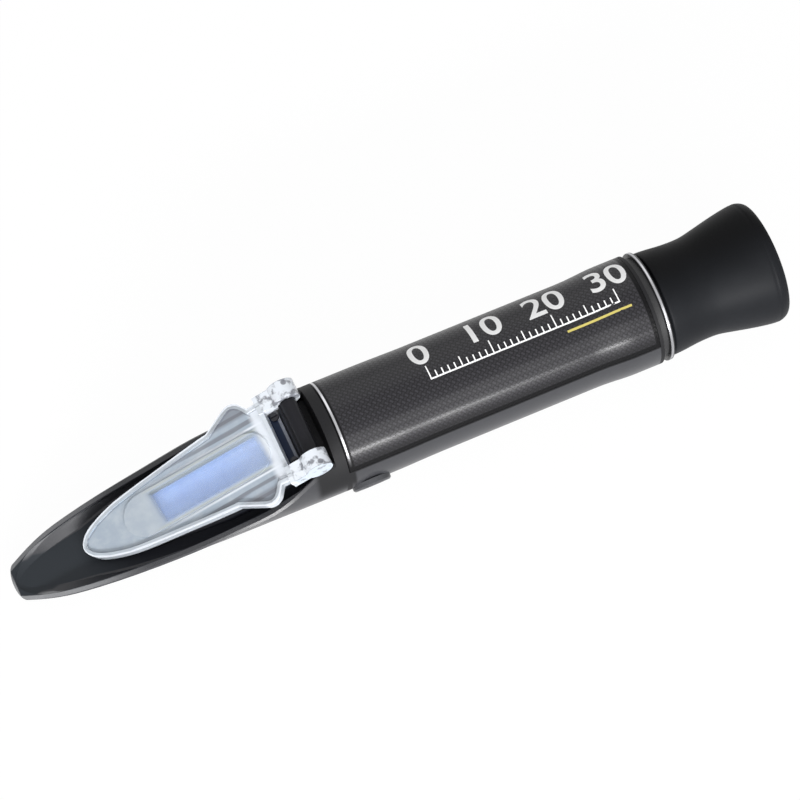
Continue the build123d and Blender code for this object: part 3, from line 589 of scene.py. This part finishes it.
def printSkin(name, colour):
    f = Finish(name)
    at = f.spot()
    wearAndGlintPatches = f.grain(at, 900, 4, 0.7)
    darker = tuple(c * 0.9 for c in colour[:3]) + (1,)
    return f.done(f.skin(
        baseColor=f.blendColour(wearAndGlintPatches, darker, colour), roughness=0.3 + wearAndGlintPatches * 0.2, ior=1.5, coatWeight=0.3,
    ))


def onPanel(along, turn):  # a point just over the panel, turn in millimetres round from its middle
    radius = hullRadius(along) + printLook["lift"]
    angle = turn / hullRadius(along)
    return bench(along, -radius * math.sin(angle), radius * math.cos(angle))


def strip(bm, alongFrom, alongTo, turnFrom, turnTo):
    across = max(1, int(abs(turnTo - turnFrom) / 0.8))
    length = max(1, int(abs(alongTo - alongFrom) / 4.0))
    grid = []
    for i in range(length + 1):
        along = alongFrom + (alongTo - alongFrom) * i / length
        turns = [turnFrom + (turnTo - turnFrom) * j / across for j in range(across + 1)]
        grid.append([bm.verts.new(onPanel(along, turn)) for turn in turns])
    for i in range(length):
        for j in range(across):
            bm.faces.new((grid[i][j], grid[i + 1][j], grid[i + 1][j + 1], grid[i][j + 1]))


def numberMesh(bm, words, along, turn, height):
    curve = bpy.data.curves.new("digits", "FONT")
    curve.body = words
    curve.size = height / 0.7
    curve.align_x = "CENTER"
    curve.offset = 0.018 * height
    holder = bpy.data.objects.new("digits", curve)
    bpy.context.scene.collection.objects.link(holder)
    bpy.context.view_layer.update()
    flat = bpy.data.meshes.new_from_object(holder)
    letters = bmesh.new()
    letters.from_mesh(flat)
    for k in range(-12, 13):
        bmesh.ops.bisect_plane(
            letters, geom=letters.verts[:] + letters.edges[:] + letters.faces[:],
            plane_co=(0, k * printLook["facet"], 0), plane_no=(0, 1, 0),
        )
    bmesh.ops.triangulate(letters, faces=letters.faces)
    letters.verts.index_update()
    made = {}
    for v in letters.verts:
        made[v.index] = bm.verts.new(onPanel(along + v.co.x, turn - v.co.y))
    for face in letters.faces:
        bm.faces.new([made[v.index] for v in face.verts])
    letters.free()
    bpy.data.objects.remove(holder)
    bpy.data.curves.remove(curve)
    bpy.data.meshes.remove(flat)


def makePrint():
    look = printLook
    white = bmesh.new()
    base, end = look["base"], look["from"] + look["pitch"] * look["count"]
    strip(white, look["from"] - look["overrun"], end + look["overrun"], base, base + look["line"])
    for i in range(look["count"] + 1):
        length = next(size for every, size in look["marks"].items() if i % every == 0)
        place = look["from"] + look["pitch"] * i
        strip(white, place - look["markHalf"], place + look["markHalf"], base, base - length)
    for i in range(0, look["count"] + 1, 10):
        place = look["from"] + look["pitch"] * i
        numberMesh(white, str(i), place, look["numbersAt"], look["height"])
    printed = addMesh("scalePrint", white, printSkin("whitePrint", look["white"]), smooth=False)
    yellow = bmesh.new()
    strip(yellow, look["yellowFrom"], look["yellowTo"], look["yellowNear"], look["yellowFar"])
    line = addMesh("yellowLine", yellow, printSkin("yellowPrint", look["yellow"]), smooth=False)
    for made in (printed, line):
        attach(made, "housing")


print("print")
makePrint()

# Camera, floor and lights

viewing = {
    "tiltDown": 20.5, "turn": 10.0, "distance": 0.975, "pixelsPerMetre": 4030.0, "pictureWidth": 800,
    "centre": (1.9, 0.6, 16.2), "centreDrop": 5.2, "roll": (0.9259, 0.3778),
}


def aimCamera():
    tilt, turn = math.radians(viewing["tiltDown"]), math.radians(viewing["turn"])
    alongView = Vector((math.cos(turn), -math.sin(tilt) * math.sin(turn), math.cos(tilt) * math.sin(turn)))
    acrossView = Vector((0, -math.cos(tilt), -math.sin(tilt)))
    back = Vector((-math.sin(turn), -math.sin(tilt) * math.cos(turn), math.cos(tilt) * math.cos(turn)))
    right = (viewing["roll"][0] * alongView + viewing["roll"][1] * acrossView).normalized()
    up = back.cross(right).normalized()
    right = up.cross(back).normalized()
    target = Vector(viewing["centre"]) / 1000 + up * viewing["centreDrop"] / viewing["pixelsPerMetre"]
    camera = bpy.data.objects.new("camera", bpy.data.cameras.new("camera"))
    bpy.context.scene.collection.objects.link(camera)
    turned = Matrix((right, up, back)).transposed().to_4x4()
    camera.matrix_world = Matrix.Translation(target + back * viewing["distance"]) @ turned
    camera.data.sensor_width = 36
    camera.data.lens = 36 * viewing["pixelsPerMetre"] * viewing["distance"] / viewing["pictureWidth"]
    camera.data.clip_start = 0.01
    camera.data.clip_end = 20
    bpy.context.scene.camera = camera
    return target


target = aimCamera()

lamps = {
    "keyStrip": {"from": (-0.2, -0.92, 0.336), "distance": 0.8, "size": (0.7, 0.06), "power": 10.5},
    "glowPanel": {"from": (-0.15, -0.69, 0.72), "distance": 0.9, "size": (0.9, 0.34), "power": 2.6},
    "skyPanel": {"from": (0.1, 0.0, 1.0), "distance": 1.5, "size": (1.6, 1.2), "power": 7.5,
                 "diffuseOnly": True},
    "backPanel": {"from": (0.1, 0.75, 0.65), "distance": 1.0, "size": (1.4, 0.8), "power": 2.4},
}


def hangLamps():
    for name, look in lamps.items():
        light = bpy.data.lights.new(name, "AREA")
        light.shape = "RECTANGLE"
        light.size, light.size_y = look["size"]
        light.energy = look["power"]
        holder = bpy.data.objects.new(name, light)
        bpy.context.scene.collection.objects.link(holder)
        away = Vector(look["from"]).normalized()
        holder.visible_glossy = not look.get("diffuseOnly", False)
        side = Vector((1, 0, 0))
        up = away.cross(side).normalized()
        turned = Matrix((up.cross(away), up, away)).transposed().to_4x4()
        holder.matrix_world = Matrix.Translation(target + away * look["distance"]) @ turned


studioLook = {"dim": 0.22, "floorSize": 1.6, "floorGlow": 0.97, "floorTone": (0.9, 0.9, 0.9, 1)}


def plainly(f):  # 1 where the eye, a mirror or clear plastic looks, 0 for the light itself
    seen = f.node("ShaderNodeLightPath")
    share = f.larger(seen.take("Is Camera Ray"), seen.take("Is Transmission Ray"))
    return f.larger(share, seen.take("Is Glossy Ray"))


def studio():
    world = bpy.data.worlds.new("studio")
    bpy.context.scene.world = world
    f = Finish("studio", world)
    strength = plainly(f) * (1 - studioLook["dim"]) + studioLook["dim"]
    f.done(f.node("ShaderNodeBackground", {}, {"Color": (1, 1, 1, 1), "Strength": strength}))

    bm = bmesh.new()
    bmesh.ops.create_grid(bm, x_segments=8, y_segments=8, size=studioLook["floorSize"])
    f = Finish("paleFloor")
    matt = f.node("ShaderNodeBsdfDiffuse", {}, {"Color": studioLook["floorTone"]})
    glow = f.node("ShaderNodeEmission", {}, {"Color": (1, 1, 1, 1), "Strength": 1.0})
    share = plainly(f) * studioLook["floorGlow"]
    mixed = f.node("ShaderNodeMixShader", {}, {0: share, 1: matt, 2: glow})
    floor = addMesh("floor", bm, f.done(mixed), smooth=False)


hangLamps()
studio()
bpy.context.scene.view_settings.view_transform = "Standard"

print("finished")
